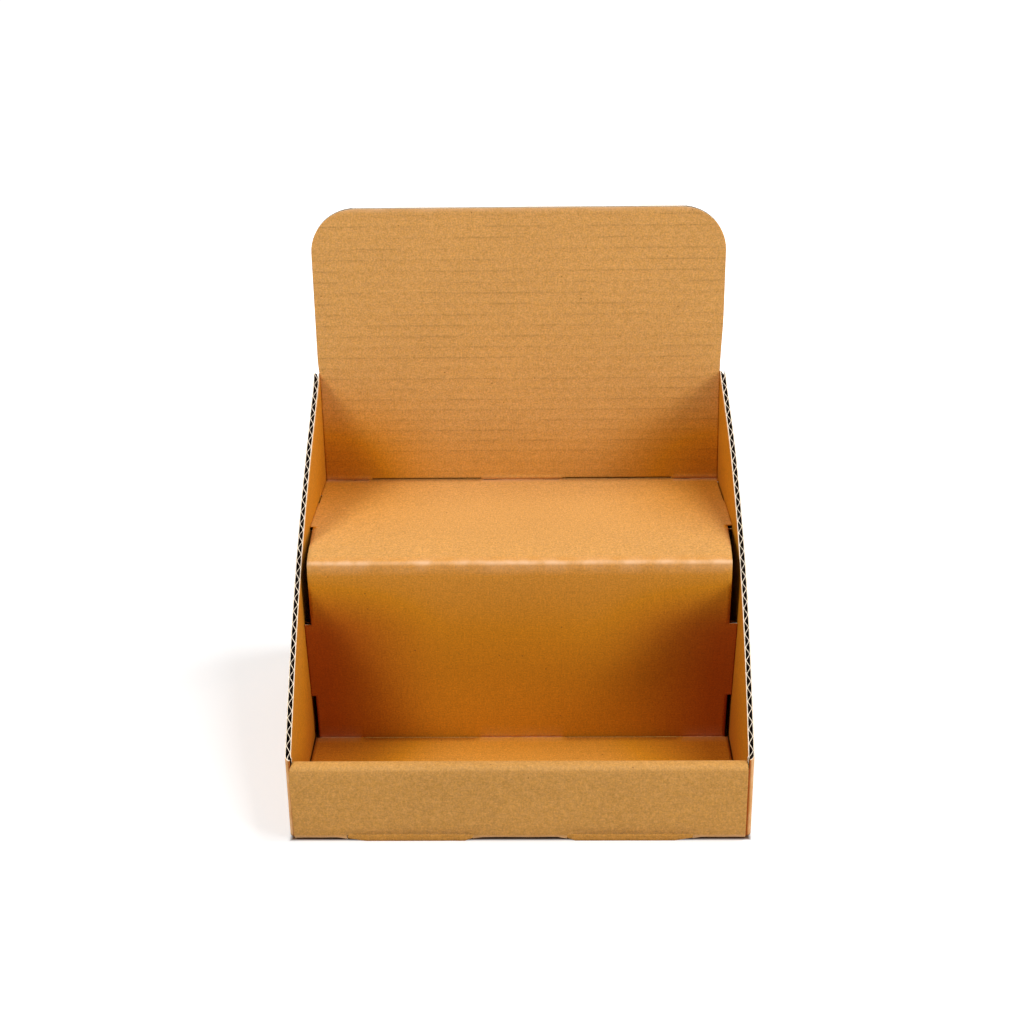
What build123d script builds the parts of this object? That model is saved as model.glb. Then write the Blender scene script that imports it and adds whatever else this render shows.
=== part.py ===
from build123d import *
import os

# Two-step counter display stand, folded from two sheets of single-wall corrugated board.
# X runs across the stand, -Y faces the buyer and +Z is up. The origin is in the middle of the
# footprint, on the surface that the stand rests on. All sizes are in millimetres.

# ---- the board ------------------------------------------------------------------------------
BOARD = 3.0               # thickness over both liners
PAPER = 0.35              # thickness of a liner, and of the fluted medium between the liners
FLUTE_PITCH = 6.35        # wave length of the medium
FLUTE_MOUTH = 6.0         # how deep the open flutes are cut in from a raw edge
FLUTE_ROUND = 0.25        # rounding in the corners of a flute
FOLD_INSIDE = 0.6         # inside radius of a creased fold
LAYER_GAP = 0.2           # air between boards that lie against each other

# ---- overall --------------------------------------------------------------------------------
WIDTH = 235.0             # over the two side walls
DEPTH = 211.5             # from the rolled front's face to the rear wall's face
HEIGHT = 275.0            # top of the back panel

# ---- tray: base, rolled front, side walls, rear wall ------------------------------------------
FRONT_HEIGHT = 43.5       # top of the rolled front
STRIP_SIDE_GAP = 0.4      # between the ends of the rolled front and the side walls
WALL_FRONT_HEIGHT = 44.2  # where the sloping top edge of a side wall starts
WALL_PEAK_HEIGHT = 178.5  # where it ends
WALL_PEAK_RUN = 1.7       # from the peak back to the rear flap's fold
WALL_PEAK_ROUND = 1.6     # rounding of the peak
WALL_FOOT = 0.4           # a side wall's corners stop this far above the resting surface
FRONT_FLAP_LENGTH = 75.0  # flap inside the rolled front, from the outside of the wall
REAR_FLAP_HEIGHT = 165.0
REAR_FLAP_SPLIT = 1.0     # gap between the two rear flaps, in the middle
REAR_WALL_HEIGHT = 158.0
REAR_WALL_CORNER = 10.0

# ---- slits along the creases ------------------------------------------------------------------
SLIT_START = 24.0         # a slit runs from here to SLIT_END, measured from the middle
SLIT_END = 87.5
SLIT_GAP = 0.9            # open width of a slit
LIP_REACH = 1.6           # how far a slit's lip passes its crease
LIP_SHOULDER = 1.8        # height where the front lips' slanted ends start
LIP_OUTER_RUN = 9.0       # length of a front lip's slant, at the end away from the middle
LIP_INNER_RUN = 4.0       # and at the end near the middle
TAB_GAP = 0.3             # behind a locking tab, in its slot
TAB_END_GAP = 0.5         # at each end of a locking tab
TAB_FOOT = 0.6            # a locking tab stops this far above the resting surface

# ---- step insert: floor, riser, shelf, back panel -----------------------------------------------
SHELF_HEIGHT = 113.5
RISER_SETBACK = 91.0      # riser's face behind the rolled front's face
INSERT_SIDE_GAP = 0.15    # between the insert and the side walls
FLOOR_SIDE_GAP = 0.9
FLOOR_FRONT_GAP = 0.4     # between the insert's floor and the rolled front
BACK_CORNER = 25.0        # top corners of the back panel
UPPER_NOTCH_DEPTH = 2.3   # relief beside the shelf's front fold, from the side wall
UPPER_NOTCH_BACK = 45.0   # how far it runs back from the riser's face
UPPER_NOTCH_DROP = 37.6   # how far it runs down from the shelf
LOWER_NOTCH_DEPTH = 1.8   # relief beside the riser's foot, from the side wall
LOWER_NOTCH_TOP = 32.2    # height where it ends
SIDE_SLIT_DEPTH = 0.8     # shallow slit beside the back of the shelf, from the side wall
SIDE_SLIT_RIGHT = (5.1, 33.1)     # where it runs, ahead of the back panel's face
SIDE_SLIT_LEFT = (22.3, 33.7)

# ---- sizes that follow --------------------------------------------------------------------------
MID = BOARD / 2
FOLD = FOLD_INSIDE + MID          # fold radius at the middle of the board
FOLD_OUTSIDE = FOLD_INSIDE + BOARD
INNER_WIDTH = WIDTH - 2 * BOARD
WALL_X = WIDTH / 2 - MID          # middle of a side wall's board
FRONT_Y = -DEPTH / 2
REAR_Y = DEPTH / 2
ROLL_DEPTH = 3 * BOARD + 2 * LAYER_GAP
FRONT_FLAP_Y = FRONT_Y + BOARD + LAYER_GAP
REAR_FLAP_Y = REAR_Y - BOARD - LAYER_GAP
BACK_Y = REAR_Y - 3 * BOARD - 2 * LAYER_GAP
RISER_Y = FRONT_Y + RISER_SETBACK
FLOOR_TOP = 2 * BOARD
WALL_START_Y = FRONT_FLAP_Y + FOLD_OUTSIDE
WALL_END_Y = REAR_FLAP_Y - FOLD_OUTSIDE
PEAK_Y = WALL_END_Y - WALL_PEAK_RUN
STRIP_WIDTH = INNER_WIDTH - 2 * STRIP_SIDE_GAP
INSERT_WIDTH = INNER_WIDTH - 2 * INSERT_SIDE_GAP
EDGE_SLOPE = (WALL_PEAK_HEIGHT - WALL_FRONT_HEIGHT) / (PEAK_Y - FRONT_FLAP_Y)
FLUTE_HEIGHT = BOARD - 3 * PAPER
FLUTE_HALF_BASE = FLUTE_PITCH / 2 - PAPER
PAST = 1.0                # how far a cut passes the face that it opens


def block(x_range, y_range, z_range, mode):
    """A box between two corners, joined to the part in the making or cut from it."""
    ranges = (x_range, y_range, z_range)
    middle = tuple((high + low) / 2 for low, high in ranges)
    with Locations(middle):
        Box(*[high - low for low, high in ranges], mode=mode)


def each_side(low, high):
    """The same stretch of X to the right and to the left of the middle."""
    return ((low, high), (-high, -low))


def flutes(sketch, face, first, count):
    """The hollows of `count` waves: local X crosses the board from `face`, local Y follows them."""
    near = [(face + PAPER, first + k * FLUTE_PITCH) for k in range(count)]
    far = [(face + BOARD - PAPER, first + (k + 0.5) * FLUTE_PITCH) for k in range(count)]
    low = (0, -FLUTE_HALF_BASE)
    high = (0, FLUTE_HALF_BASE)
    with Locations(near):
        Polygon(low, (FLUTE_HEIGHT, 0), high, align=None)
    with Locations(far):
        Polygon(low, high, (-FLUTE_HEIGHT, 0), align=None)
    fillet(sketch.vertices(), FLUTE_ROUND)


# ---- right-hand side wall, with its flaps -----------------------------------------------------------
with BuildPart() as side_wall:
    # The fold at the base, carried along the wall.
    with BuildSketch(Plane.XZ.offset(-WALL_START_Y)):
        with BuildLine():
            FilletPolyline(
                (STRIP_WIDTH / 2 - BOARD, MID),
                (WALL_X, MID),
                (WALL_X, HEIGHT),
                radius=FOLD,
            )
        trace(line_width=BOARD)
    extrude(amount=WALL_START_Y - WALL_END_Y)

    # The upright folds into the front flap and the rear flap.
    with BuildSketch(Plane.XY.offset(FOLD_OUTSIDE)):
        with BuildLine():
            FilletPolyline(
                (WALL_X, WALL_START_Y + BOARD),
                (WALL_X, FRONT_FLAP_Y + MID),
                (WIDTH / 2 - FRONT_FLAP_LENGTH, FRONT_FLAP_Y + MID),
                radius=FOLD,
            )
        trace(line_width=BOARD)
        with BuildLine():
            FilletPolyline(
                (WALL_X, WALL_END_Y - BOARD),
                (WALL_X, REAR_FLAP_Y - MID),
                (REAR_FLAP_SPLIT / 2, REAR_FLAP_Y - MID),
                radius=FOLD,
            )
        trace(line_width=BOARD)
    extrude(amount=HEIGHT)

    # Both upright folds carried down past the base, clear of it.
    with BuildSketch(Plane.XY.offset(WALL_FOOT)):
        with BuildLine():
            CenterArc((WALL_X - FOLD, WALL_START_Y), FOLD, -90, 90)
        trace(line_width=BOARD)
        with BuildLine():
            CenterArc((WALL_X - FOLD, WALL_END_Y), FOLD, 0, 90)
        trace(line_width=BOARD)
    extrude(amount=FOLD_OUTSIDE - WALL_FOOT)
    for corner in ((FRONT_FLAP_Y - PAST, WALL_START_Y), (WALL_END_Y, REAR_FLAP_Y + PAST)):
        block((0, STRIP_WIDTH / 2 + LAYER_GAP), corner, (0, FOLD_OUTSIDE), Mode.SUBTRACT)

    # The front flap ends below the top of the roll.
    block(
        (0, INNER_WIDTH / 2),
        (FRONT_FLAP_Y - PAST, FRONT_FLAP_Y + BOARD + LAYER_GAP / 2),
        (FRONT_HEIGHT - BOARD - LAYER_GAP, 2 * HEIGHT),
        Mode.SUBTRACT,
    )

    # Outline of the wall, seen from the side.
    with BuildSketch(Plane.YZ) as outline:
        with BuildLine():
            Polyline(
                (FRONT_FLAP_Y - PAST, 0),
                (FRONT_FLAP_Y - PAST, WALL_FRONT_HEIGHT - PAST * EDGE_SLOPE),
                (PEAK_Y, WALL_PEAK_HEIGHT),
                (WALL_END_Y, REAR_FLAP_HEIGHT),
                (REAR_FLAP_Y + PAST, REAR_FLAP_HEIGHT),
                (REAR_FLAP_Y + PAST, 0),
                close=True,
            )
        make_face()
        fillet(outline.vertices().sort_by(Axis.Y)[-1], WALL_PEAK_ROUND)
    extrude(amount=WIDTH, mode=Mode.INTERSECT)

# The flutes run up the wall, so its sloping edge cuts across them and shows every wave.
with BuildPart() as wall_flutes:
    with BuildSketch() as wall_waves:
        first_wave = WALL_START_Y + FLUTE_PITCH / 2
        flutes(
            wall_waves,
            INNER_WIDTH / 2,
            first_wave,
            int((PEAK_Y - WALL_PEAK_ROUND - first_wave) / FLUTE_PITCH),
        )
    extrude(amount=HEIGHT)
    with BuildSketch(Plane.YZ):
        with BuildLine():
            Polyline(
                (FRONT_FLAP_Y, WALL_FRONT_HEIGHT - FLUTE_MOUTH),
                (PEAK_Y, WALL_PEAK_HEIGHT - FLUTE_MOUTH),
                (PEAK_Y, WALL_PEAK_HEIGHT + FLUTE_MOUTH),
                (FRONT_FLAP_Y, WALL_FRONT_HEIGHT + FLUTE_MOUTH),
                close=True,
            )
        make_face()
    extrude(amount=WIDTH, mode=Mode.INTERSECT)

# ---- tray ----------------------------------------------------------------------------------------
with BuildPart() as tray:
    # Rear wall, base, front, roll over the top and inner front, as one folded strip.
    with BuildSketch(Plane.YZ):
        with BuildLine():
            FilletPolyline(
                (REAR_Y - MID, REAR_WALL_HEIGHT),
                (REAR_Y - MID, MID),
                (FRONT_Y + MID, MID),
                (FRONT_Y + MID, FRONT_HEIGHT - MID),
                (FRONT_Y + ROLL_DEPTH - MID, FRONT_HEIGHT - MID),
                (FRONT_Y + ROLL_DEPTH - MID, BOARD + LAYER_GAP),
                radius=FOLD,
            )
        trace(line_width=BOARD)
    extrude(amount=STRIP_WIDTH / 2, both=True)
    rear_corners = tray.edges().filter_by(Axis.Y).group_by(Axis.Z)[-1].group_by(Axis.X)
    fillet([rear_corners[0][0], rear_corners[-1][0]], REAR_WALL_CORNER)

    # Slots along the front crease: the front's lips and the inner front's tabs stand in them.
    for x_range in each_side(SLIT_START, SLIT_END):
        block(x_range, (FRONT_Y, FRONT_Y + ROLL_DEPTH + TAB_GAP), (0, FOLD_OUTSIDE), Mode.SUBTRACT)
    for x_range in each_side(SLIT_START + TAB_END_GAP, SLIT_END - TAB_END_GAP):
        tab_y = (FRONT_Y + ROLL_DEPTH - BOARD, FRONT_Y + ROLL_DEPTH)
        block(x_range, tab_y, (TAB_FOOT, FOLD_OUTSIDE), Mode.ADD)
    with BuildSketch(Plane.XZ.offset(-FRONT_Y)) as lips:
        with BuildLine():
            Polyline(
                (SLIT_START, FOLD_OUTSIDE),
                (SLIT_START, LIP_SHOULDER),
                (SLIT_START + LIP_INNER_RUN, 0),
                (SLIT_END - LIP_OUTER_RUN, 0),
                (SLIT_END, LIP_SHOULDER),
                (SLIT_END, FOLD_OUTSIDE),
                close=True,
            )
        make_face()
        mirror(about=Plane.YZ)
    extrude(amount=-BOARD)

    # Both side walls.
    add(side_wall.part)
    add(wall_flutes.part, mode=Mode.SUBTRACT)
    add(side_wall.part.mirror(Plane.YZ))
    add(wall_flutes.part.mirror(Plane.YZ), mode=Mode.SUBTRACT)

# ---- step insert ---------------------------------------------------------------------------------
with BuildPart() as step_insert:
    # Floor, riser, shelf and back panel, as one folded strip.
    with BuildSketch(Plane.YZ):
        with BuildLine():
            FilletPolyline(
                (FRONT_Y + ROLL_DEPTH + FLOOR_FRONT_GAP, FLOOR_TOP - MID),
                (RISER_Y + MID, FLOOR_TOP - MID),
                (RISER_Y + MID, SHELF_HEIGHT - MID),
                (BACK_Y + MID, SHELF_HEIGHT - MID),
                (BACK_Y + MID, HEIGHT),
                radius=FOLD,
            )
        trace(line_width=BOARD)
    extrude(amount=INSERT_WIDTH / 2, both=True)
    back_corners = step_insert.edges().filter_by(Axis.Y).group_by(Axis.Z)[-1].group_by(Axis.X)
    fillet([back_corners[0][0], back_corners[-1][0]], BACK_CORNER)

    # Slits along the crease at the riser's foot: the riser runs on down as a lip.
    for x_range in each_side(SLIT_START, SLIT_END):
        slit_y = (RISER_Y - SLIT_GAP, RISER_Y + BOARD)
        block(x_range, slit_y, (BOARD, FLOOR_TOP + FOLD_INSIDE), Mode.SUBTRACT)
        lip_z = (FLOOR_TOP - LIP_REACH, FLOOR_TOP + FOLD_INSIDE)
        block(x_range, (RISER_Y, RISER_Y + BOARD), lip_z, Mode.ADD)

    # Slits along the crease at the back of the shelf: the shelf runs on back as a lip.
    for x_range in each_side(SLIT_START, SLIT_END):
        slit_z = (SHELF_HEIGHT - BOARD, SHELF_HEIGHT + SLIT_GAP)
        block(x_range, (BACK_Y - FOLD_INSIDE, BACK_Y + BOARD), slit_z, Mode.SUBTRACT)
        lip_y = (BACK_Y - FOLD_INSIDE, BACK_Y + LIP_REACH)
        block(x_range, lip_y, (SHELF_HEIGHT - BOARD, SHELF_HEIGHT), Mode.ADD)

    # Reliefs in the side edges, measured from the side walls' inner faces.
    wall_face = INNER_WIDTH / 2
    for x_range in each_side(wall_face - UPPER_NOTCH_DEPTH, wall_face):
        block(
            x_range,
            (RISER_Y - PAST, RISER_Y + UPPER_NOTCH_BACK),
            (SHELF_HEIGHT - UPPER_NOTCH_DROP, SHELF_HEIGHT + PAST),
            Mode.SUBTRACT,
        )
    for x_range in each_side(wall_face - LOWER_NOTCH_DEPTH, wall_face):
        block(x_range, (RISER_Y, RISER_Y + BOARD), (BOARD, LOWER_NOTCH_TOP), Mode.SUBTRACT)
    for x_range in each_side(wall_face - FLOOR_SIDE_GAP, wall_face):
        block(x_range, (FRONT_Y, RISER_Y), (0, FLOOR_TOP + FOLD_INSIDE), Mode.SUBTRACT)
    right, left = each_side(wall_face - SIDE_SLIT_DEPTH, wall_face)
    for x_range, (start, end) in ((right, SIDE_SLIT_RIGHT), (left, SIDE_SLIT_LEFT)):
        slit_z = (SHELF_HEIGHT - BOARD, SHELF_HEIGHT)
        block(x_range, (BACK_Y - end, BACK_Y - start), slit_z, Mode.SUBTRACT)

    # The back panel's flutes run across it and open at its two upright edges.
    first_wave = SHELF_HEIGHT + FOLD_OUTSIDE + FLUTE_PITCH / 2
    wave_count = int((HEIGHT - BACK_CORNER - first_wave) / FLUTE_PITCH)
    for edge_plane in (
        Plane.YZ.offset(INSERT_WIDTH / 2 - FLUTE_MOUTH),
        Plane.YZ.offset(-INSERT_WIDTH / 2 - PAST),
    ):
        with BuildSketch(edge_plane) as back_waves:
            flutes(back_waves, BACK_Y, first_wave, wave_count)
        extrude(amount=FLUTE_MOUTH + PAST, mode=Mode.SUBTRACT)

tray.part.label = "tray"
step_insert.part.label = "step_insert"

os.makedirs("parts", exist_ok=True)
export_step(tray.part, "parts/tray.step")
export_step(step_insert.part, "parts/step_insert.step")
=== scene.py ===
from math import cos, pi, radians, sin

import bpy
import numpy as np
from mathutils import Matrix, Vector


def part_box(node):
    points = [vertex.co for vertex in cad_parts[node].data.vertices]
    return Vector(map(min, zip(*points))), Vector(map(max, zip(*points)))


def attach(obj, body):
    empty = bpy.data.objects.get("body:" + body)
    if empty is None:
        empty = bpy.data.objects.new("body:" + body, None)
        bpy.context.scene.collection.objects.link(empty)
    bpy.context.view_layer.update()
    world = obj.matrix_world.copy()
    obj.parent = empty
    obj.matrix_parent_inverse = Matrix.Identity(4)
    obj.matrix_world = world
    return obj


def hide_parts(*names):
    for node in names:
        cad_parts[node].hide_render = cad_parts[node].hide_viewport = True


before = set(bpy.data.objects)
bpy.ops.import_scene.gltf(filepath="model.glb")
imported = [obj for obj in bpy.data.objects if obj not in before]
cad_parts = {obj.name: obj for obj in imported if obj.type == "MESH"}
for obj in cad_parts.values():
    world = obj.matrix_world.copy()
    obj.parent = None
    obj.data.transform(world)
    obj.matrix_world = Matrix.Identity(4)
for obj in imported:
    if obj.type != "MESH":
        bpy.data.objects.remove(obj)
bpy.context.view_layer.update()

# A counter display stand of corrugated board: a tray folded from one sheet, and a step insert folded
# from another. Both are built as real board, two liners with a fluted paper between them.
#
# All sizes are in metres. X runs across the stand, -Y faces the buyer and +Z is up.

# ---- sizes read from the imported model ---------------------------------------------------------
TRAY_LOW, TRAY_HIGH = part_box("tray")
STEP_LOW, STEP_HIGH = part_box("step_insert")
WIDTH = TRAY_HIGH.x - TRAY_LOW.x
FRONT_Y = TRAY_LOW.y
REAR_Y = TRAY_HIGH.y
HEIGHT = STEP_HIGH.z
BOARD = STEP_LOW.z               # the insert's floor lies on the tray's base
BACK_Y = STEP_HIGH.y - BOARD     # face of the back panel
FLOOR_FRONT_Y = STEP_LOW.y
INSERT_HALF = STEP_HIGH.x

# ---- the board ---------------------------------------------------------------------------------
LINER = 0.00040                  # thickness of a liner at its cut edge
MEDIUM = 0.00036                 # thickness of the fluted paper between the liners
FLUTE_PITCH = 0.00635
FOLD_INSIDE = 0.0006
LAYER_GAP = 0.0002
HALF = BOARD / 2
FOLD = FOLD_INSIDE + HALF        # fold radius at the middle of the board
FOLD_OUTSIDE = FOLD_INSIDE + BOARD
WAVE_HEIGHT = HALF - LINER - MEDIUM / 2
CREASE = 0.0013                  # fold radius at the middle of a scored crease across the flutes
CRUSH = 0.45                     # share of the board's thickness that the score takes away
CRUSH_REACH = 0.0016
ARC_STEPS = 8                    # grid steps round each fold
WAVE_STEP = FLUTE_PITCH / 12     # grid step along the fluted paper

# ---- tray ----------------------------------------------------------------------------------------
FRONT_HEIGHT = 0.0435
STRIP_HALF = WIDTH / 2 - BOARD - 0.0004
WALL_FRONT_HEIGHT = 0.0442
WALL_PEAK_HEIGHT = 0.1803
WALL_PEAK_RUN = 0.0017
WALL_PEAK_RADIUS = 0.0009
WALL_FOOT = 0.0004
FRONT_FLAP_LENGTH = 0.075
REAR_FLAP_HEIGHT = 0.165
REAR_FLAP_SPLIT = 0.001
REAR_WALL_HEIGHT = 0.158
REAR_WALL_CORNER = 0.010
ROLL_DEPTH = 3 * BOARD + 2 * LAYER_GAP
FRONT_FLAP_Y = FRONT_Y + BOARD + LAYER_GAP
REAR_FLAP_Y = REAR_Y - BOARD - LAYER_GAP
WALL_X = WIDTH / 2 - HALF
WALL_START_Y = FRONT_FLAP_Y + FOLD_OUTSIDE
WALL_END_Y = REAR_FLAP_Y - FOLD_OUTSIDE
PEAK_Y = WALL_END_Y - WALL_PEAK_RUN

# ---- slits along the creases -----------------------------------------------------------------------
SLIT_START = 0.024
SLIT_END = 0.0875
SLIT_GAP = 0.0009
LIP_REACH = 0.0016
LIP_SHOULDER = 0.0018
LIP_OUTER_RUN = 0.009
LIP_INNER_RUN = 0.004
TAB_GAP = 0.0003
TAB_END_GAP = 0.0005
TAB_FOOT = 0.0006

# ---- step insert -------------------------------------------------------------------------------------
SHELF_HEIGHT = 0.1135
RISER_Y = FRONT_Y + 0.091
FLOOR_TOP = 2 * BOARD
BACK_CORNER = 0.025
UPPER_NOTCH_BACK = 0.045
UPPER_NOTCH_DROP = 0.0376
LOWER_NOTCH_TOP = 0.0322
NOTCH_LEFT = -(INSERT_HALF - 0.0036)       # edge of the reliefs beside the shelf's front fold
NOTCH_RIGHT = INSERT_HALF - 0.0044
NOTCH_TAPER = 0.0019                       # how much narrower they are at their rear ends
LOWER_NOTCH = INSERT_HALF - 0.0024
FLOOR_HALF = INSERT_HALF - 0.00075
SIDE_SLIT = INSERT_HALF - 0.00065
SIDE_SLIT_RIGHT = (0.0051, 0.0331)         # where it runs, ahead of the back panel's face
SIDE_SLIT_LEFT = (0.0223, 0.0337)

# ---- how the folded board has settled ------------------------------------------------------------------
BOW_LEFT = 0.0022                # the side walls belly outward beside the step
BOW_RIGHT = 0.0026
LEAN_RIGHT = 0.0010              # the right wall's rear top leans inward
PANEL_LEFT = 0.0010              # the back panel reaches further left above the walls
ROLL_LEFT = 0.0011               # so does the rolled front, more at its top
SHELF_SAG = 0.0005
FOLLOW_START = 0.060             # what lies further out than this follows the walls

# ---- paper colours -----------------------------------------------------------------------------------
KRAFT = (0.58, 0.287, 0.068, 1.0)
STEP_KRAFT_PAINTED_LIGHTER = (0.665, 0.338, 0.094, 1.0)   # the tray's paper made a little lighter for the insert: painted light
PAINTED_SHADE_NONE = (1.0, 1.0, 1.0, 1.0)         # painted shade in three depths, none, golden and deep, each times the paper's colour
PAINTED_SHADE_GOLDEN = (0.94, 0.72, 0.095, 1.0)
PAINTED_SHADE_DEEP = (0.56, 0.21, 0.022, 1.0)
WORN_AND_HIGHLIGHT = (0.86, 0.52, 0.28, 1.0)            # rubbed fibres on a crease, and painted highlight along the folds
RAW_EDGE = (0.93, 0.78, 0.60, 1.0)
# Painted shade: the paper inside the flutes and the fluted paper's faces, near black.
FLUTE_SHADE = (0.018, 0.008, 0.004, 1.0)
SPECK = (0.20, 0.07, 0.01, 1.0)
COOL_PATCH = (1.0, 0.99, 0.92, 1.0)       # both times the paper's colour, in patches
WARM_PATCH = (1.0, 1.01, 1.10, 1.0)

# Material slots of both sheets; HOLLOW is the near-black painted shade inside the flutes.
FACE, EDGE, HOLLOW = 0, 1, 2

# ---- camera: a counter-height look down into the tray ------------------------------------------
CAMERA_DISTANCE = 0.7528    # in front of the rolled front
CAMERA_SIDE = 0.0133
CAMERA_HEIGHT = 0.5203
CAMERA_YAW = radians(-1.15)
CAMERA_PITCH = radians(24.14)
CAMERA_ROLL = radians(-0.76)
CAMERA_LENS = 62.33

# ---- lamps: name, height and side angle (0 is in front, + to the right), power in watts --------------
LAMPS = (
    ("left_soft_box", radians(40), radians(-60), 13.6),
    ("right_low_soft_box", radians(15), radians(60), 10.6),
    ("right_high_soft_box", radians(65), radians(100), 13.6),
    ("rear_soft_box", radians(62), radians(180), 2.5),
)
LAMP_DISTANCE = 1.5
LAMP_SIZE = 0.6
LAMP_AIM = Vector((0.0, 0.0, 0.12))
WORLD_LIGHT = 0.05

# ---- floor -------------------------------------------------------------------------------------
FLOOR_REACH = 3.0
FLOOR_COLOUR = (0.8, 0.8, 0.8, 1.0)
CONTACT_PAINTED_SHADOW = (0.16, 0.09, 0.05, 1.0)   # painted shadow on the floor right under the stand's lower edges
CONTACT_START = -0.0020                   # how far past the stand's outline that shade fades out
CONTACT_END = 0.0007
GLOW_NEAR = 0.40                          # what the eye adds to the floor, near and far
GLOW_FAR = 1.0
GLOW_START = 0.15
GLOW_END = 0.9


def smooth(value, low, high):
    """A soft step: 0 below low, 1 above high, and 3u^2 - 2u^3 in between."""
    u = np.clip((value - low) / (high - low), 0.0, 1.0)
    return u * u * (3.0 - 2.0 * u)


def hump(value, middle, reach):
    """A bell, exp(-u^2), with u the distance from the middle over the reach."""
    return np.exp(-(((value - middle) / reach) ** 2))


def ragged(value, seed):
    """An uneven line: five sines of unrelated wave lengths and phases, added up, within about 1."""
    total = np.zeros_like(value)
    for k, length in enumerate((0.0311, 0.0137, 0.0061, 0.0029, 0.0013)):
        total = total + np.sin(2 * pi * value / length + seed * (k + 1.7)) * (0.36 - 0.05 * k)
    return total


def folded_path(corners, radius):
    """A line with rounded corners, as straight runs and arcs in turn.

    Each row holds the length walked so far, the start point, the heading and the curvature. An arc
    takes radius * tan(half the turn) from the runs on both sides of its corner.
    """
    corners = np.array(corners, dtype=float)
    steps = np.diff(corners, axis=0)
    lengths = np.hypot(steps[:, 0], steps[:, 1])
    headings = np.unwrap(np.arctan2(steps[:, 1], steps[:, 0]))
    turns = np.diff(headings)
    trims = radius * np.tan(np.abs(turns) / 2)
    rows = []
    walked = 0.0
    point = corners[0]
    for k, heading in enumerate(headings):
        ahead = np.array((np.cos(heading), np.sin(heading)))
        straight = lengths[k] - trims[max(k - 1, 0)] * (k > 0) - (trims[k] if k < len(turns) else 0.0)
        rows.append((walked, point[0], point[1], heading, 0.0))
        walked += straight
        point = point + straight * ahead
        if k < len(turns):
            rows.append((walked, point[0], point[1], heading, np.sign(turns[k]) / radius))
            walked += radius * abs(turns[k])
            out = np.array((np.cos(headings[k + 1]), np.sin(headings[k + 1])))
            point = corners[k + 1] + trims[k] * out
    return np.array(rows), walked


def walk(path, s):
    """Point and heading at a length s along a path.

    On an arc of curvature c that starts with heading g, the heading is g + c d after a length d, and
    the point has moved by (sin(g + c d) - sin g, cos g - cos(g + c d)) / c.
    """
    row = path[np.clip(np.searchsorted(path[:, 0], s, side="right") - 1, 0, len(path) - 1)]
    start, a, b, heading, bend = np.moveaxis(row, -1, 0)
    gone = s - start
    turned = heading + bend * gone
    straight = bend == 0.0
    safe = np.where(straight, 1.0, bend)
    a = a + np.where(straight, gone * np.cos(heading), (np.sin(turned) - np.sin(heading)) / safe)
    b = b + np.where(straight, gone * np.sin(heading), (np.cos(heading) - np.cos(turned)) / safe)
    return a, b, turned


def grid_lines(breaks, step):
    """Grid lines through every break, with each stretch between two breaks divided evenly."""
    breaks = np.unique(np.round(np.array(breaks, dtype=float), 6))
    runs = [
        np.linspace(low, high, max(1, int(np.ceil((high - low) / step - 0.01))) + 1)[:-1]
        for low, high in zip(breaks[:-1], breaks[1:])
    ]
    return np.concatenate(runs + [breaks[-1:]])


def path_lines(path, length, breaks, step):
    """Grid lines along a folded path, with ARC_STEPS steps round each of its arcs."""
    arcs = []
    for k in range(1, len(path), 2):
        arcs.extend(np.linspace(path[k, 0], path[k + 1, 0], ARC_STEPS + 1))
    return grid_lines([0.0, length, *arcs, *breaks], step)


def flute(s):
    """Height of the fluted paper's middle, from -1 to 1: a sine with its flanks straightened."""
    turn = 2 * pi * s / FLUTE_PITCH
    return (np.sin(turn) - 0.07 * np.sin(3 * turn)) / 1.07


def flute_slope(s):
    """Rise of the fluted paper per metre along the board."""
    turn = 2 * pi * s / FLUTE_PITCH
    return WAVE_HEIGHT * 2 * pi / FLUTE_PITCH * (np.cos(turn) - 0.21 * np.cos(3 * turn)) / 1.07


def signed_volume(points, quads):
    """Volume inside a closed mesh of quads, by the divergence theorem, negative if inside out."""
    a, b, c, d = (points[quads[:, k]] for k in range(4))
    first = np.einsum("ij,ij->i", a, np.cross(b, c))
    second = np.einsum("ij,ij->i", a, np.cross(c, d))
    return (first.sum() + second.sum()) / 6.0


def closed_sheet(low, high, keep, slots):
    """Two grids of points joined into one closed sheet of paper.

    Every kept cell gives a quad on both grids, and every border between a kept cell and a dropped
    or missing one gives a quad from one grid to the other. Returns points, quads and slot numbers.
    """
    rows, columns = keep.shape
    index = np.arange((rows + 1) * (columns + 1)).reshape(rows + 1, columns + 1)
    shift = index.size
    a, b = index[:-1, :-1], index[:-1, 1:]
    c, d = index[1:, 1:], index[1:, :-1]
    framed = np.pad(keep, 1)
    quads = [
        np.stack((a[keep], b[keep], c[keep], d[keep]), axis=1) + shift,
        np.stack((d[keep], c[keep], b[keep], a[keep]), axis=1),
    ]
    for start, end, beside in (
        (a, b, framed[:-2, 1:-1]),
        (b, c, framed[1:-1, 2:]),
        (c, d, framed[2:, 1:-1]),
        (d, a, framed[1:-1, :-2]),
    ):
        rim = keep & ~beside
        quads.append(np.stack((start[rim], end[rim], end[rim] + shift, start[rim] + shift), axis=1))
    numbers = [np.full(len(quads[0]), slots[0]), np.full(len(quads[1]), slots[1])]
    numbers += [np.full(len(rim), EDGE) for rim in quads[2:]]
    points = np.concatenate((low.reshape(-1, 3), high.reshape(-1, 3)))
    quads = np.concatenate(quads)
    if signed_volume(points, quads) < 0:
        quads = quads[:, ::-1]
    return points, quads, np.concatenate(numbers)


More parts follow.
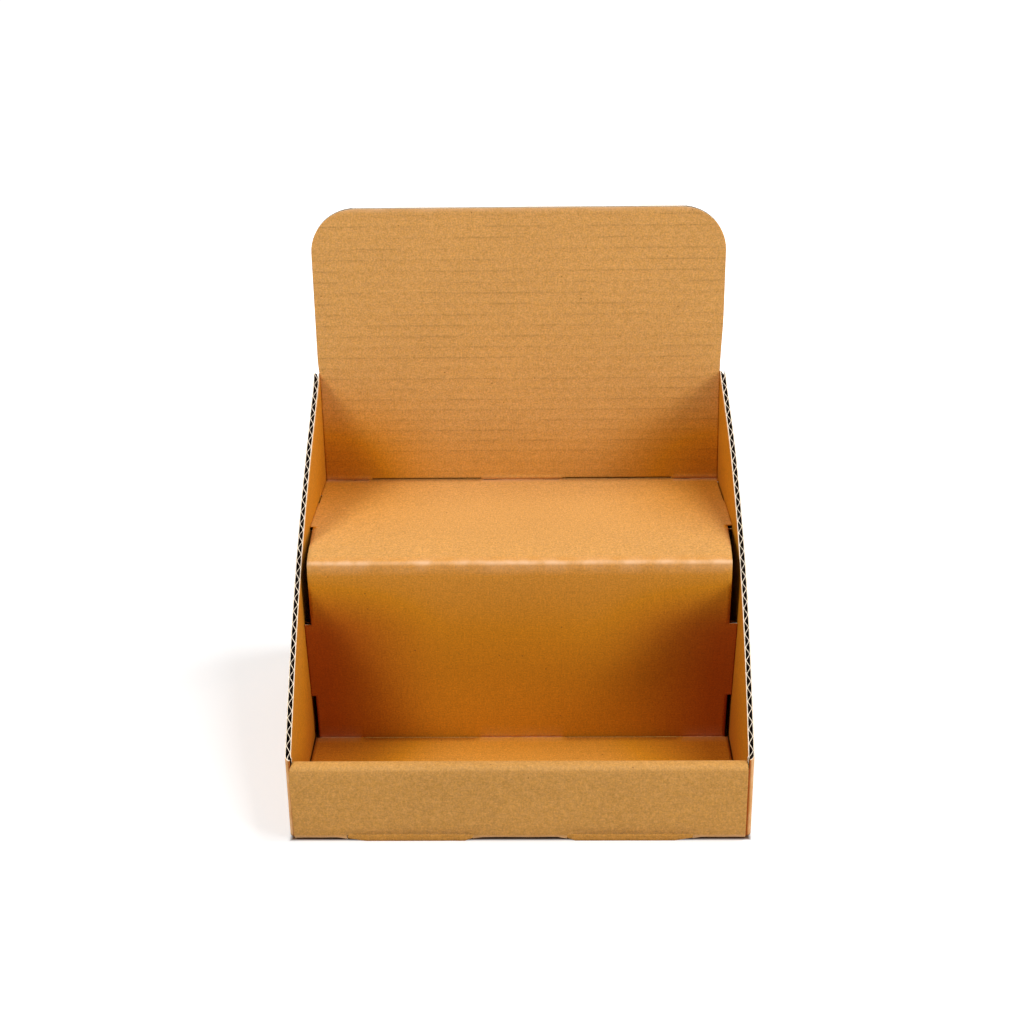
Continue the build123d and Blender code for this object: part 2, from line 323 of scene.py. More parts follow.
class Sheet:
    """Collects closed layers of paper and makes one mesh object of them."""

    def __init__(self):
        self.points = []
        self.quads = []
        self.slots = []
        self.flat = []
        # Marks per point: wear with painted highlight, washboard, and painted shade.
        self.marks = {"wear_and_highlight": [], "washboard": [], "painted_shade": []}
        self.count = 0

    def add(self, low, high, keep, slots, flat, marks):
        """Add one closed layer; flat holds each point's place on the unfolded sheet.

        marks holds three numbers a point, from 0 to 1: how worn it is, with painted highlight on folds,
        how much the flutes show through, and how deep its painted shade is.
        """
        low, high = np.broadcast_arrays(low, high)
        points, quads, numbers = closed_sheet(low, high, keep, slots)
        used, quads = np.unique(quads, return_inverse=True)
        flat = np.concatenate((flat.reshape(-1, 2), flat.reshape(-1, 2)))
        self.points.append(points[used])
        self.quads.append(quads.reshape(-1, 4) + self.count)
        self.slots.append(numbers)
        self.flat.append(flat[used])
        for label, mark in zip(self.marks, marks):
            mark = np.broadcast_to(mark, low.shape[:2]).ravel()
            self.marks[label].append(np.concatenate((mark, mark))[used])
        self.count += len(used)

    def make(self, name, node, materials):
        """The mesh object, which stands for the CAD node of the same sheet."""
        points = np.concatenate(self.points)
        quads = np.concatenate(self.quads)
        slots = np.concatenate(self.slots)
        mesh = bpy.data.meshes.new(name)
        mesh.from_pydata(points.tolist(), [], quads.tolist())
        for material in materials:
            mesh.materials.append(material)
        mesh.polygons.foreach_set("material_index", slots.astype(np.int32))
        mesh.polygons.foreach_set("use_smooth", slots != EDGE)
        layer = mesh.uv_layers.new(name="sheet")
        flat = np.concatenate(self.flat)[quads.ravel()]
        layer.data.foreach_set("uv", flat.ravel().astype(np.float32))
        for label, marks in self.marks.items():
            attribute = mesh.attributes.new(label, "FLOAT", "POINT")
            attribute.data.foreach_set("value", np.concatenate(marks).astype(np.float32))
        mesh.validate()
        mesh.update()
        piece = bpy.data.objects.new(name, mesh)
        bpy.context.collection.objects.link(piece)
        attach(piece, "root")
        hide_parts(node)
        return piece


def settled(points):
    """Where the folded board really stands: small bows and leans added to its nominal place.

    A side wall bellies outward by its bow times a sine over its length, growing with height, and
    the right one leans in at its rear top. The back panel reaches a little further left above the
    walls. Past FOLLOW_START from the middle, all the board follows the walls.
    """
    x, y, z = np.moveaxis(points, -1, 0)
    beside = smooth(np.abs(x), FOLLOW_START, INSERT_HALF)
    length = np.clip((y - WALL_START_Y) / (WALL_END_Y - WALL_START_Y), 0.0, 1.0)
    edge = np.interp(y, (FRONT_FLAP_Y, PEAK_Y), (WALL_FRONT_HEIGHT, WALL_PEAK_HEIGHT))
    belly = np.sin(pi * length) * smooth(z / edge, 0.0, 1.0)
    lean = LEAN_RIGHT * smooth(y, 0.045, 0.100) * smooth(z, 0.090, 0.178) * smooth(z, 0.215, 0.180)
    panel = PANEL_LEFT * smooth(z, 0.172, 0.188)
    right = beside * (BOW_RIGHT * belly - lean)
    left = -beside * (BOW_LEFT * belly + panel)
    return np.stack((x + np.where(x > 0, right, left), y, z), axis=-1)


def board_layers(sheet, s, t, keep, place, marks, waves, wave_shift):
    """Two liners and the fluted paper between them, on one grid of the unfolded board.

    place(s, t, h) gives the point at height h over the middle of the board. A liner lies between
    its two faces; the fluted paper lies half its thickness to both sides of its wave, measured
    square to it.
    """
    flat = np.stack(np.broadcast_arrays(s, t), axis=-1)
    inner = HALF - LINER
    liners = ((inner, HALF, (FACE, HOLLOW)), (-HALF, -inner, (HOLLOW, FACE)))
    for (low, high, slots), liner_marks in zip(liners, marks):
        sheet.add(place(s, t, low), place(s, t, high), keep, slots, flat, liner_marks)
    if waves is None:
        return
    s, t, keep = waves
    tilt = np.arctan(flute_slope(s + wave_shift))
    middle = WAVE_HEIGHT * flute(s + wave_shift)
    across, up = MEDIUM / 2 * np.sin(tilt), MEDIUM / 2 * np.cos(tilt)
    low = place(s + across, t, middle - up)
    high = place(s - across, t, middle + up)
    flat = np.stack(np.broadcast_arrays(s, t), axis=-1)
    # The fluted paper's faces take the painted shade of the flute inside; only its cut rims show light.
    sheet.add(low, high, keep, (HOLLOW, HOLLOW), flat, (0.0, 0.0, 0.0))


def crease_wear_and_highlight(path, s):
    """Wear and painted highlight along the folds of a path: a bell over each arc, with a faint wide foot.
    """
    worn_and_highlit = np.zeros_like(s)
    for k in range(1, len(path), 2):
        middle = (path[k, 0] + path[k + 1, 0]) / 2
        worn_and_highlit = worn_and_highlit + 0.75 * hump(s, middle, 0.0008) + 0.22 * hump(s, middle, 0.0028)
    return worn_and_highlit


def slit_part(x):
    """1 along the slits of a crease, 0 between and outside them."""
    across = np.abs(x)
    inner = smooth(across, SLIT_START - 0.0006, SLIT_START)
    return inner * smooth(-across, -SLIT_END - 0.0006, -SLIT_END)


def crushed(path, s, x, slit_arcs):
    """How much the scores press the board flat: a bell over the middle of every arc."""
    pressed = np.zeros_like(s)
    for k in range(1, len(path), 2):
        whole = 1 - slit_part(x) if k in slit_arcs else 1.0
        pressed = pressed + whole * hump(s, (path[k, 0] + path[k + 1, 0]) / 2, CRUSH_REACH)
    return pressed


def cells(lines):
    """Middles of the cells between grid lines."""
    return (lines[1:] + lines[:-1]) / 2


def length_to(path, run, y=None, z=None):
    """Length walked when a straight run of a path in the YZ plane gets to a given y or z."""
    gone = y - path[run, 1] if z is None else z - path[run, 2]
    return path[run, 0] + abs(gone)


def inside(values, low, high):
    """Which values lie between two limits."""
    return (values > low) & (values < high)


def strip_place(path, x_scale, relief, slit_arcs=()):
    """Placing of a strip that is folded about X: its path lies in the YZ plane.

    x_scale(s, x) moves a point across the strip; relief(s, x, h) moves it along the board's normal.
    The arcs named in slit_arcs are slit instead of scored over part of their length.
    """

    def place(s, x, h):
        s, x, h = np.broadcast_arrays(s, x, h)
        a, b, heading = walk(path, s)
        h = h * (1 - CRUSH * crushed(path, s, x, slit_arcs)) + relief(s, x, h)
        across = x_scale(s, x)
        points = np.stack((across, a - h * np.sin(heading), b + h * np.cos(heading)), axis=-1)
        return settled(points)

    return place


def tray_strip(sheet):
    """Rear wall, base, rolled front and inner front, folded from one strip."""
    path, length = folded_path(
        [
            (REAR_Y - HALF, REAR_WALL_HEIGHT),
            (REAR_Y - HALF, HALF),
            (FRONT_Y + HALF, HALF),
            (FRONT_Y + HALF, FRONT_HEIGHT - HALF),
            (FRONT_Y + ROLL_DEPTH - HALF, FRONT_HEIGHT - HALF),
            (FRONT_Y + ROLL_DEPTH - HALF, BOARD + LAYER_GAP),
        ],
        CREASE,
    )
    slot_start = length_to(path, 2, y=FRONT_Y + ROLL_DEPTH + TAB_GAP)
    front_start = length_to(path, 4, z=FOLD_OUTSIDE)

    def x_scale(s, x):
        corner = np.clip(1 - s / REAR_WALL_CORNER, 0.0, 1.0)
        rounded = REAR_WALL_CORNER * (1 - np.sqrt(1 - corner**2))
        wider = np.interp(s, (path[3, 0], path[4, 0], path[5, 0], path[6, 0]), (0.0, 0.5, 1.0, 0.0))
        return x * (1 - rounded / STRIP_HALF + np.where(x < 0, wider * ROLL_LEFT / STRIP_HALF, 0.0))

    def relief(s, x, h):
        roll = hump(s, (path[5, 0] + path[6, 0]) / 2, 0.0035)
        foot = hump(s, front_start, 0.003) * (1 - slit_part(x))
        return 0.00012 * roll * ragged(x, 1.3) + 0.00008 * foot * ragged(x, 4.1)

    def keep_cells(s, x):
        slot = inside(s, slot_start, front_start)[:, None]
        return ~(slot & inside(np.abs(x), SLIT_START, SLIT_END)[None, :])

    place = strip_place(path, x_scale, relief, (3,))
    corner_rows = REAR_WALL_CORNER * (1 - np.cos(np.linspace(0, pi / 2, 9)))
    breaks = [slot_start, front_start, *corner_rows]
    s = path_lines(path, length, breaks, 0.005)
    edges = (SLIT_START, SLIT_END, STRIP_HALF - 0.0008, STRIP_HALF)
    x = grid_lines([*edges, *[-e for e in edges]], 0.005)
    cut = inside(np.abs(x), SLIT_START, SLIT_END)[None, :] & (np.abs(s - path[3, 0]) < 0.012)[:, None]
    rolled = np.where(s > path[4, 0], 0.10, 1.0)[:, None]
    wear_and_highlight = crease_wear_and_highlight(path, s)[:, None] * rolled * np.where(cut, 0.0, 1.0)
    show = np.where(s > path[3, 0], 0.12, 0.5)[:, None]
    # Painted shade: deep inside the rear wall and base, light elsewhere inside, 0.7 on the inner front.
    deep_before_front = smooth(-s, -path[4, 0] - 0.0002, -path[4, 0] + 0.0008)[:, None]
    inside_painted_shade = np.maximum(0.14 - 0.10 * x[None, :] / STRIP_HALF, deep_before_front)
    inner_front_painted_shade = 0.7 * smooth(s, path[7, 0], path[8, 0])[:, None]
    marks = ((wear_and_highlight, show, inner_front_painted_shade), (wear_and_highlight, show, inside_painted_shade))
    wave_s = path_lines(path, length, breaks, WAVE_STEP)
    wave_x = grid_lines([*edges, *[-e for e in edges]], 0.06)
    waves = (wave_s[:, None], wave_x[None, :], keep_cells(cells(wave_s), cells(wave_x)))
    keep = keep_cells(cells(s), cells(x))
    board_layers(sheet, s[:, None], x[None, :], keep, place, marks, waves, 0.0)

    # The front's lips stand in the slits, their ends slanted; the inner front's tabs behind them.
    for side in (-1, 1):
        x = side * grid_lines(
            [SLIT_START, SLIT_START + LIP_INNER_RUN, SLIT_END - LIP_OUTER_RUN, SLIT_END], 0.003
        )
        foot = np.interp(
            np.abs(x),
            (SLIT_START, SLIT_START + LIP_INNER_RUN, SLIT_END - LIP_OUTER_RUN, SLIT_END),
            (LIP_SHOULDER, 0.0, 0.0, LIP_SHOULDER),
        )
        foot = np.maximum(foot + 0.00008 * ragged(x, 2.2), 0.0)
        share = np.linspace(0.0, 1.0, 4)[:, None]
        s = front_start - (FOLD_OUTSIDE - foot) * (1 - share) + 0.0004 * share
        board_block(sheet, s, x[None, :], straight_on(path, 4), 0.00001)
        tab_x = side * grid_lines([SLIT_START + TAB_END_GAP, SLIT_END - TAB_END_GAP], 0.006)
        tab_s = np.linspace(length, length + BOARD + LAYER_GAP - TAB_FOOT, 3)[:, None]
        board_block(sheet, tab_s, tab_x[None, :], place)


def straight_on(path, run):
    """Placing for a lip of board that runs straight on past an end of one of the path's runs."""
    start, a, b, heading, _ = path[run]
    back = start + 1.0
    line = np.array([(-1.0, a - back * cos(heading), b - back * sin(heading), heading, 0.0)])
    return strip_place(line, lambda s, x: x, lambda s, x, h: 0.0)


def board_block(sheet, s, x, place, proud=0.0):
    """A small flap of board closed on all sides, for where its flutes can't be looked into.

    proud thickens it a little, so that its overlap with the sheet it hangs on has a clear order.
    """
    s, x = np.broadcast_arrays(s, x)
    keep = np.ones((s.shape[0] - 1, s.shape[1] - 1), dtype=bool)
    flat = np.stack((s, x), axis=-1)
    low, high = place(s, x, -HALF - proud), place(s, x, HALF + proud)
    # Lips and tabs carry a light painted shade of 0.14 and no wear.
    sheet.add(low, high, keep, (FACE, FACE), flat, (0.0, 0.12, 0.14))


def wall_top(y):
    """Height of a side wall's top edge: a slope, a rounded peak, and a steep drop to the rear flap."""
    outline, length = folded_path(
        [
            (FRONT_FLAP_Y, WALL_FRONT_HEIGHT),
            (PEAK_Y, WALL_PEAK_HEIGHT),
            (WALL_END_Y, REAR_FLAP_HEIGHT),
        ],
        WALL_PEAK_RADIUS,
    )
    line_y, line_z, _ = walk(outline, np.linspace(0.0, length, 4000))
    return np.interp(y, line_y, line_z)


def side_wall(sheet, side):
    """Side wall with its front flap, rear flap and the fold to the base; side is 1 right, -1 left."""
    path, length = folded_path(
        [
            (WIDTH / 2 - FRONT_FLAP_LENGTH, FRONT_FLAP_Y + HALF),
            (WALL_X, FRONT_FLAP_Y + HALF),
            (WALL_X, REAR_FLAP_Y - HALF),
            (REAR_FLAP_SPLIT / 2, REAR_FLAP_Y - HALF),
        ],
        FOLD,
    )
    flap_cut = path[1, 0] + 0.0006
    nick = 0.0001

    def place(s, z, h):
        s, z, h = np.broadcast_arrays(s, z, h)
        a, b, heading = walk(path, s)
        x = a + h * np.sin(heading)
        return settled(np.stack((side * x, b - h * np.cos(heading), z), axis=-1))

    def top(s):
        _, y, _ = walk(path, s)
        sloping = wall_top(y) + 0.00006 * ragged(s, 3.0 + side)
        flap = FRONT_HEIGHT - BOARD - LAYER_GAP
        return np.where(s < flap_cut, flap, np.where(s < path[3, 0], sloping, REAR_FLAP_HEIGHT))

    def bottom(s):
        return np.interp(
            s,
            (path[1, 0] - nick, path[1, 0], path[2, 0], path[2, 0] + nick)
            + (path[3, 0] - nick, path[3, 0], path[4, 0], path[4, 0] + nick),
            (FOLD_OUTSIDE, WALL_FOOT, WALL_FOOT, FOLD_OUTSIDE) * 2,
        )

    wall_start, wall_end = path[2, 0], path[3, 0]
    peak = wall_end - WALL_PEAK_RUN
    breaks = [flap_cut - nick, flap_cut, path[1, 0] - nick, wall_start + nick, wall_end - nick]
    breaks += [path[1, 0] - 0.0007, path[1, 0] + 0.0003, path[1, 0] + 0.0012]
    breaks += [path[4, 0] + nick, *np.linspace(peak - 0.003, wall_end - nick, 14)]
    s = path_lines(path, length, breaks, 0.002)
    low, high = bottom(s), top(s)
    share = grid_lines([0.0, 0.03, 0.97, 1.0], 0.05)
    z = low[:, None] + share * (high - low)[:, None]
    depth = high[:, None] - z
    wear_and_highlight = np.maximum(crease_wear_and_highlight(path, s)[:, None], 0.6 * hump(depth, 0.0, 0.0012))
    # Painted shadow: a dark line on the front flap beside the rolled front's edge, with no wear there.
    roll_gap_shadow = np.clip(1.4 * hump(s, path[1, 0] + 0.0002, 0.0009), 0.0, 1.0)[:, None]
    wear_and_highlight = wear_and_highlight * (1 - roll_gap_shadow)
    # Painted shade: outer side 0.35 deep, inner side deeper downwards and a little more on the right wall.
    inner_painted_shade = 0.47 + 0.03 * side + 0.33 * smooth(depth, 0.010, 0.100)
    marks = ((wear_and_highlight, 0.15, 0.35 + 0.65 * roll_gap_shadow), (wear_and_highlight, 0.15, inner_painted_shade))
    wave_s = path_lines(path, length, breaks, WAVE_STEP)
    wave_z = top(wave_s)[:, None] - np.array((0.018, 0.009, 0.0))
    waves = (wave_s[:, None], wave_z, np.ones((len(wave_s) - 1, 2), dtype=bool))
    keep = np.ones((len(s) - 1, len(share) - 1), dtype=bool)
    board_layers(sheet, s[:, None], z, keep, place, marks, waves, 0.0013 * side)

    # The fold at the wall's foot, carried along the wall.
    fold_path, fold_length = folded_path(
        [(WALL_X - FOLD, HALF), (WALL_X, HALF), (WALL_X, HALF + FOLD)], FOLD
    )

    def fold_place(turn, y, h):
        turn, y, h = np.broadcast_arrays(turn, y, h)
        a, b, heading = walk(fold_path, turn)
        x = a + h * np.sin(heading)
        return settled(np.stack((side * x, y, b - h * np.cos(heading)), axis=-1))

    turn = np.linspace(0.0, fold_length, ARC_STEPS + 1)
    y = grid_lines([WALL_START_Y, WALL_END_Y], 0.006)
    keep = np.ones((len(turn) - 1, len(y) - 1), dtype=bool)
    # Painted shade on the inner side of the foot fold.
    marks = ((0.3, 0.15, 0.0), (0.3, 0.15, 0.6))
    board_layers(sheet, turn[:, None], y[None, :], keep, fold_place, marks, None, 0.0)


def step_painted_shade(path, s, x):
    """Depth of tone over the visible side of the step, from 0 to 1.

    Each run has a share that grows towards its dim end and one that grows towards the side walls.
    This is painted shade: it deepens the colour where board faces board, beyond what the lamps do.
    """
    y, z = (part[:, None] for part in walk(path, s)[:2])
    run = np.searchsorted(path[:, 0], s, side="right")[:, None] - 1
    beside = smooth(np.abs(x)[None, :], 0.035, INSERT_HALF)
    floor = 0.33 + 0.10 * smooth(y, -0.05, RISER_Y) + 0.40 * beside
    riser = 0.36 + 0.16 * smooth(-z, -0.110, -0.060) + 0.50 * beside * smooth(-z, -0.112, -0.070)
    shelf = 0.42 * beside * smooth(y, 0.0, BACK_Y)
    low = smooth(-z, -0.160, -SHELF_HEIGHT)
    back = 0.22 * low + 0.50 * beside * smooth(-z, -0.178, -0.130)
    return np.clip(np.select([run < 2, run < 4, run < 6], [floor, riser, shelf], back), 0.0, 1.0)


def step_strip(sheet):
    """Floor, riser, shelf and back panel, folded from one strip."""
    path, length = folded_path(
        [
            (FLOOR_FRONT_Y, FLOOR_TOP - HALF),
            (RISER_Y + HALF, FLOOR_TOP - HALF),
            (RISER_Y + HALF, SHELF_HEIGHT - HALF),
            (BACK_Y + HALF, SHELF_HEIGHT - HALF),
            (BACK_Y + HALF, HEIGHT),
        ],
        CREASE,
    )
    riser_start, shelf_start, back_start = path[2, 0], path[4, 0], path[6, 0]
    foot_slit = (length_to(path, 0, y=RISER_Y - SLIT_GAP), riser_start)
    crease_slit = (path[5, 0], length_to(path, 6, z=SHELF_HEIGHT + SLIT_GAP))
    upper_notch = (
        length_to(path, 2, z=SHELF_HEIGHT - UPPER_NOTCH_DROP),
        length_to(path, 4, y=RISER_Y + UPPER_NOTCH_BACK),
    )
    lower_notch = (foot_slit[0] + SLIT_GAP, length_to(path, 2, z=LOWER_NOTCH_TOP))
    slit_right = [length_to(path, 4, y=BACK_Y - ahead) for ahead in SIDE_SLIT_RIGHT[::-1]]
    slit_left = [length_to(path, 4, y=BACK_Y - ahead) for ahead in SIDE_SLIT_LEFT[::-1]]
    corner_start = length - BACK_CORNER

    def x_scale(s, x):
        corner = np.clip((s - corner_start) / BACK_CORNER, 0.0, 1.0)
        rounded = BACK_CORNER * (1 - np.sqrt(1 - corner**2))
        fold = path[4, 0]
        back = (s - fold) / (upper_notch[1] - fold)
        taper = np.where(back > 1.001, 0.0, np.clip(back, 0.0, 1.0))
        beside = np.interp(np.abs(x), (0.100, -NOTCH_LEFT, INSERT_HALF), (0.0, 1.0, 0.0))
        return x * (1 - rounded / INSERT_HALF) + np.sign(x) * NOTCH_TAPER * taper * beside

    def relief(s, x, h):
        bead = (1 - slit_part(x)) * (0.8 + 0.2 * ragged(x, 5.0)) * (h > 0)
        rear = 0.00050 * hump(s, back_start + 0.0012, 0.0011) * bead
        foot = 0.00025 * hump(s, riser_start + 0.0008, 0.0009) * bead
        edge = 0.00010 * hump(s, (path[3, 0] + path[4, 0]) / 2, 0.003) * ragged(x, 7.0)
        middle = np.cos(pi / 2 * np.clip(x / INSERT_HALF, -1, 1))
        along = np.clip((s - shelf_start) / (path[5, 0] - shelf_start), 0.0, 1.0)
        sag = -SHELF_SAG * np.sin(pi * along) * middle
        return rear + foot + edge + sag

    def keep_cells(s, x):
        across = np.abs(x)[None, :]
        rows = s[:, None]
        x = x[None, :]
        slit = inside(across, SLIT_START, SLIT_END)
        cut = slit & (inside(rows, *foot_slit) | inside(rows, *crease_slit))
        cut |= inside(rows, *upper_notch) & ((x < NOTCH_LEFT) | (x > NOTCH_RIGHT))
        cut |= inside(rows, *lower_notch) & (across > LOWER_NOTCH)
        cut |= (rows < riser_start) & (across > FLOOR_HALF)
        cut |= inside(rows, *slit_right) & (x > SIDE_SLIT)
        cut |= inside(rows, *slit_left) & (x < -SIDE_SLIT)
        return ~cut

    place = strip_place(path, x_scale, relief, (1, 5))
    corner_rows = corner_start + BACK_CORNER * np.sin(np.linspace(0, pi / 2, 15))
    breaks = [*foot_slit, *crease_slit, *upper_notch, *lower_notch, *slit_right, *slit_left]
    breaks += [*corner_rows, *(back_start + np.linspace(0.0003, 0.0036, 7))]
    breaks += [*(riser_start + np.linspace(0.0002, 0.0024, 5))]
    breaks += [upper_notch[0] - 0.0004, upper_notch[1] + 0.0006, lower_notch[1] + 0.0004]
    s = path_lines(path, length, breaks, 0.006)
    edges = (SLIT_START, SLIT_END, LOWER_NOTCH, FLOOR_HALF, SIDE_SLIT, INSERT_HALF)
    x = grid_lines([*edges, *[-e for e in edges], NOTCH_LEFT, NOTCH_RIGHT], 0.0022)
    wear_and_highlight = np.maximum(crease_wear_and_highlight(path, s), 0.6 * hump(s, length, 0.0015))[:, None] * np.ones_like(x)
    in_slit = (np.abs(s - riser_start) < 0.004) | (np.abs(s - back_start) < 0.004)
    wear_and_highlight = wear_and_highlight * np.where(in_slit[:, None], 1 - slit_part(x), 1.0)
    show = np.interp(s, (path[1, 0], riser_start, path[5, 0], back_start + 0.02), (0.5, 0.15, 0.2, 1.0))
    # Painted shade: deeper towards dim ends and the side walls on the seen side, half depth underneath.
    painted_shade, underside_painted_shade = step_painted_shade(path, s, x), 0.5
    notch_side = (x < NOTCH_LEFT + 0.0001) | (x > NOTCH_RIGHT - 0.0001)
    # Painted shadow: the cut ends beside the notches go to full depth on both sides.
    for end in (*upper_notch, lower_notch[1]):
        shaded_notch_end = (np.abs(s - end) < 0.0001)[:, None] & notch_side
        painted_shade = np.where(shaded_notch_end, 1.0, painted_shade)
        underside_painted_shade = np.where(shaded_notch_end, 1.0, underside_painted_shade)
    marks = ((wear_and_highlight, show[:, None], painted_shade), (wear_and_highlight, 0.3, underside_painted_shade))
    keep = keep_cells(cells(s), cells(x))
    wave_s = path_lines(path, length, breaks, WAVE_STEP)
    wave_x = grid_lines([*edges, *[-e for e in edges], NOTCH_LEFT, NOTCH_RIGHT], 0.03)
    waves = (wave_s[:, None], wave_x[None, :], keep_cells(cells(wave_s), cells(wave_x)))
    board_layers(sheet, s[:, None], x[None, :], keep, place, marks, waves, 0.0004)

    # Lips in the slits: the riser runs on down, and the shelf runs on back.
    for side in (-1, 1):
        x = side * grid_lines([SLIT_START, SLIT_END], 0.0022)
        drop = path[2, 2] - FLOOR_TOP + LIP_REACH + 0.00010 * ragged(x, 8.0)
        share = np.linspace(0.0, 1.0, 3)[:, None]
        board_block(sheet, riser_start - drop * (1 - share), x[None, :], straight_on(path, 2))
        reach = BACK_Y - path[5, 1] + LIP_REACH + 0.00010 * ragged(x, 9.0)
        board_block(sheet, path[5, 0] + reach * share, x[None, :], straight_on(path, 4))


def new_group(name, inputs, outputs):
    """An empty node group with named sockets: (name, socket type, default value)."""
    group = bpy.data.node_groups.new(name, "ShaderNodeTree")
    for label, kind, value in inputs:
        socket = group.interface.new_socket(name=label, in_out="INPUT", socket_type=kind)
        if value is not None:
            socket.default_value = value
    for label, kind in outputs:
        group.interface.new_socket(name=label, in_out="OUTPUT", socket_type=kind)
    return group


def math_node(tree, operation, first, second=None, clamp=False):
    """One Math node: each operand is a number or an output socket."""
    node = tree.nodes.new("ShaderNodeMath")
    node.operation = operation
    node.use_clamp = clamp
    for index, operand in enumerate((first, second)):
        if operand is None:
            continue
        if isinstance(operand, (int, float)):
            node.inputs[index].default_value = operand
        else:
            tree.links.new(operand, node.inputs[index])
    return node.outputs[0]


def mix_colour(tree, factor, low, high, blend="MIX"):
    """One colour Mix node: each operand is a value or an output socket."""
    node = tree.nodes.new("ShaderNodeMix")
    node.data_type = "RGBA"
    node.blend_type = blend
    for socket, operand in ((node.inputs["Factor"], factor), (node.inputs[6], low), (node.inputs[7], high)):
        if isinstance(operand, (int, float, tuple)):
            socket.default_value = operand
        else:
            tree.links.new(operand, socket)
    return node.outputs[2]


def noise(tree, vector, scale, detail=3.0, roughness=0.55):
    """Noise on a vector, as a value between 0 and 1."""
    node = tree.nodes.new("ShaderNodeTexNoise")
    node.inputs["Scale"].default_value = scale
    node.inputs["Detail"].default_value = detail
    node.inputs["Roughness"].default_value = roughness
    tree.links.new(vector, node.inputs["Vector"])
    return node.outputs["Fac"]


def ramp(tree, value, low, high, low_out=0.0, high_out=1.0):
    """A value stretched smoothly from one range to another."""
    node = tree.nodes.new("ShaderNodeMapRange")
    node.interpolation_type = "SMOOTHSTEP"
    tree.links.new(value, node.inputs["Value"])
    for label, number in (("From Min", low), ("From Max", high), ("To Min", low_out), ("To Max", high_out)):
        node.inputs[label].default_value = number
    return node.outputs["Result"]


def stretched(tree, vector, scale):
    """A vector with each axis scaled by its own factor."""
    node = tree.nodes.new("ShaderNodeMapping")
    node.inputs["Scale"].default_value = scale
    tree.links.new(vector, node.inputs["Vector"])
    return node.outputs["Vector"]


def blend_value(tree, value, factor, offset):
    """value * factor + offset."""
    node = tree.nodes.new("ShaderNodeMath")
    node.operation = "MULTIPLY_ADD"
    tree.links.new(value, node.inputs[0])
    node.inputs[1].default_value = factor
    node.inputs[2].default_value = offset
    return node.outputs[0]


